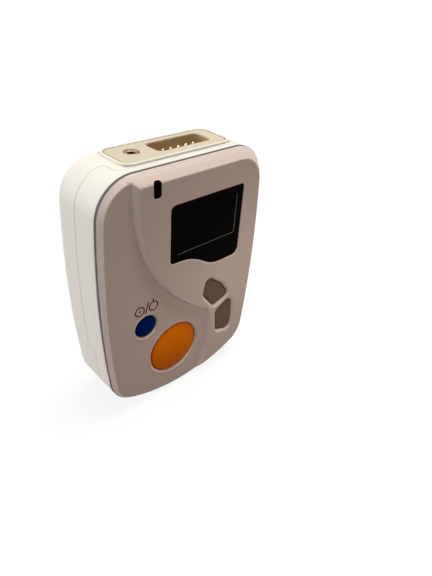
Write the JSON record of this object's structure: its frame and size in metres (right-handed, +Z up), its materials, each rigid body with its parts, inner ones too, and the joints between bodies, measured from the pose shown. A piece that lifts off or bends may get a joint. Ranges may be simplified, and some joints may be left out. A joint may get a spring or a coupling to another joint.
{
  "type": "ecg home monitor",
  "caption": "Pocket ECG recorder with a domed event button, power button, two shaped keys, a display window, a cable socket on top and a slide-off battery door.",
  "frame": {"origin": "under the middle of the case, on the surface it stands on", "axes": "+X to the right seen from the front, +Y from the front face to the back, +Z up to the cable socket"},
  "size_m": [0.0556, 0.0208, 0.0756],
  "materials": {
    "cover": "satin, warm pearl grey",
    "case": "semi-gloss, warm white",
    "door": "semi-gloss, warm white",
    "seal": "matt, dark grey",
    "plate": "satin, beige",
    "black_plastic": "matt, black",
    "pins": "polished, gold plated",
    "brass": "turned brass",
    "board": "green solder mask",
    "window": "gloss, black",
    "foam": "matt, black foam",
    "display": "gloss, dark glass",
    "ribbon": "amber film",
    "lamp": "clear resin",
    "event_orange": "satin, orange",
    "power_blue": "satin, dark blue",
    "button_grey": "satin, warm grey",
    "tin": "satin, tinned",
    "tray": "matt, pale grey",
    "cell": "plain green sleeve",
    "spring_steel": "bright steel",
    "screw_steel": "zinc plated"
  },
  "bodies": {
    "root": {"front_cover": "cover", "middle_frame": "case", "rear_shell": "case", "seam_gasket": "seal", "connector_plate": "plate", "contact_block": "black_plastic", "connector_pins": "pins", "thread_insert": "brass", "connector_board": "board", "display_window": "window", "display_gasket": "foam", "display_glass": "display", "display_holder": "black_plastic", "display_ribbon": "ribbon", "indicator_window": "window", "indicator_lamp": "lamp", "main_board": "board", "push_switches": "tin", "board_chips": "black_plastic", "shield_can": "tin", "sounder": "black_plastic", "battery_tray": "tray", "battery_cell": "cell", "battery_spring": "spring_steel", "battery_contact": "spring_steel", "board_screws": "screw_steel", "tray_screws": "screw_steel", "case_screws": "screw_steel"},
    "event_key": {"event_button": "event_orange"},
    "power_key": {"power_button": "power_blue"},
    "up_key": {"up_button": "button_grey"},
    "down_key": {"down_button": "button_grey"},
    "door": {"battery_door": "door"}
  },
  "joints": [
    {"name": "event_press", "type": "slide", "parent": "root", "child": "event_key", "axis": [0, 1, 0], "range_m": [0, 0.0008], "stiffness_N_per_m": 1500, "springref_m": -0.0004},
    {"name": "power_press", "type": "slide", "parent": "root", "child": "power_key", "axis": [0, 1, 0], "range_m": [0, 0.0006], "stiffness_N_per_m": 1500, "springref_m": -0.0004},
    {"name": "up_press", "type": "slide", "parent": "root", "child": "up_key", "axis": [0, 1, 0], "range_m": [0, 0.0006], "stiffness_N_per_m": 1500, "springref_m": -0.0004},
    {"name": "down_press", "type": "slide", "parent": "root", "child": "down_key", "axis": [0, 1, 0], "range_m": [0, 0.0006], "stiffness_N_per_m": 1500, "springref_m": -0.0004},
    {"name": "battery_door_slide", "type": "slide", "parent": "root", "child": "door", "axis": [0, 0, -1], "range_m": [0, 0.025]}
  ]
}
